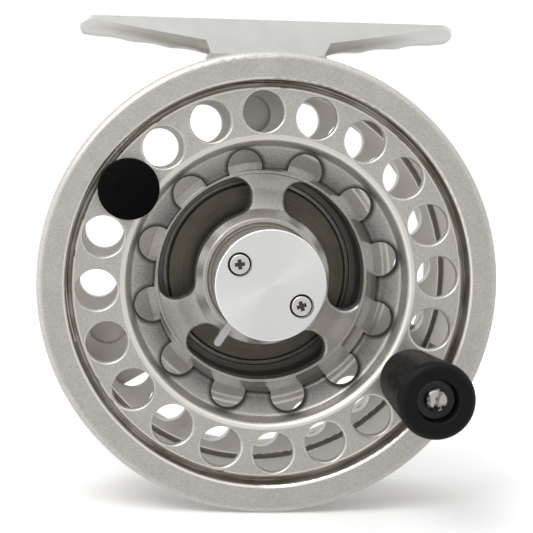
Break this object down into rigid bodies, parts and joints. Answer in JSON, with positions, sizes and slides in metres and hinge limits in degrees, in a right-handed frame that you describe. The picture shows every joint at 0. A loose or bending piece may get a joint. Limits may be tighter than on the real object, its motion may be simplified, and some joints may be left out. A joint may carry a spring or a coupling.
{
  "type": "fly fishing reel",
  "caption": "Caged fly reel with a ported lift-off spool, side crank knob, counterweight, hub release lever, rear drag knob and rod-seat foot.",
  "frame": {"origin": "middle of the foot's rod seat, on the lowest line of its saddle", "axes": "+Z out of the foot towards the rod, +Y along the spool axis from the crank side to the drag side, +X along the foot"},
  "size_m": [0.082, 0.0634, 0.0884],
  "materials": {
    "satin_silver": "satin silver lacquer",
    "foot_silver": "satin",
    "bright_turned": "fine turned",
    "black_grip": "matte",
    "steel": "bright",
    "dark_disc": "turned, dark brown-grey",
    "bronze": "plain",
    "seal_rubber": "matte",
    "friction": "matte",
    "knob_silver": "satin"
  },
  "bodies": {
    "frame": {"frame_front_ring": "satin_silver", "frame_pillars": "satin_silver", "frame_back_plate": "satin_silver", "reel_foot": "foot_silver", "foot_screws": "steel", "main_spindle": "steel", "spindle_nut": "steel", "spindle_circlip": "steel", "drag_cover": "dark_disc", "sleeve_seal": "seal_rubber", "drag_washer_front": "friction", "pawl_pin": "steel", "click_spring": "steel", "drag_knob_screw": "steel"},
    "rotor": {"drag_rotor": "steel", "click_gear": "bronze"},
    "spool": {"spool_front_flange": "satin_silver", "spool_arbor": "satin_silver", "spool_rear_flange": "satin_silver", "spool_hub": "satin_silver", "hub_cap": "bright_turned", "cap_screws": "steel", "hub_bush": "bronze", "one_way_clutch": "steel", "handle_spindle": "steel", "handle_washer": "steel", "handle_screw": "steel", "counterweight": "black_grip", "counterweight_rivet": "steel", "latch_spring": "steel"},
    "lever": {"release_lever": "steel"},
    "handle": {"handle_knob": "black_grip"},
    "pawl": {"click_pawl": "steel"},
    "pressure_plate": {"pressure_plate": "steel", "drag_washer_rear": "friction", "drag_spring": "steel"},
    "drag_thrust": {"drag_thrust_ring": "steel"},
    "drag_adjuster": {"drag_knob": "knob_silver"}
  },
  "joints": [
    {"name": "spool_spin", "type": "hinge", "parent": "frame", "child": "rotor", "pos_m": [0, -0.0174, -0.0458], "axis": [0, 1, 0], "continuous": true},
    {"name": "spool_lift_off", "type": "slide", "parent": "rotor", "child": "spool", "axis": [0, -1, 0], "range_m": [0, 0.045], "deforming": ["latch_spring"]},
    {"name": "handle_spin", "type": "hinge", "parent": "spool", "child": "handle", "pos_m": [0.02558, -0.0174, -0.06241], "axis": [0, 1, 0], "continuous": true},
    {"name": "release_lever_push", "type": "slide", "parent": "spool", "child": "lever", "axis": [0.5446, 0, 0.8387], "range_m": [0, 0.0012], "stiffness_N_per_m": 400, "springref_m": -0.001},
    {"name": "click_pawl_rock", "type": "hinge", "parent": "frame", "child": "pawl", "pos_m": [-0.01256, -0.0174, -0.03855], "axis": [0, 1, 0], "range_deg": [-8, 8], "stiffness_Nm_per_rad": 0.002, "deforming": ["click_spring"]},
    {"name": "drag_knob_turn", "type": "hinge", "parent": "drag_thrust", "child": "drag_adjuster", "pos_m": [0, -0.0174, -0.0458], "axis": [0, -1, 0], "range_deg": [-60, 300]},
    {"name": "drag_thrust_travel", "type": "slide", "parent": "frame", "child": "drag_thrust", "axis": [0, -1, 0], "range_m": [-0.000083333, 0.00041667]},
    {"name": "pressure_plate_travel", "type": "slide", "parent": "frame", "child": "pressure_plate", "axis": [0, -1, 0], "range_m": [-0.00004, 0.00014], "deforming": ["drag_spring"]}
  ],
  "couplings": [
    {"joint": "drag_knob_turn", "follows": "drag_thrust_travel", "rad_per_m": 12566},
    {"joint": "pressure_plate_travel", "follows": "drag_thrust_travel", "ratio": 0.3}
  ]
}
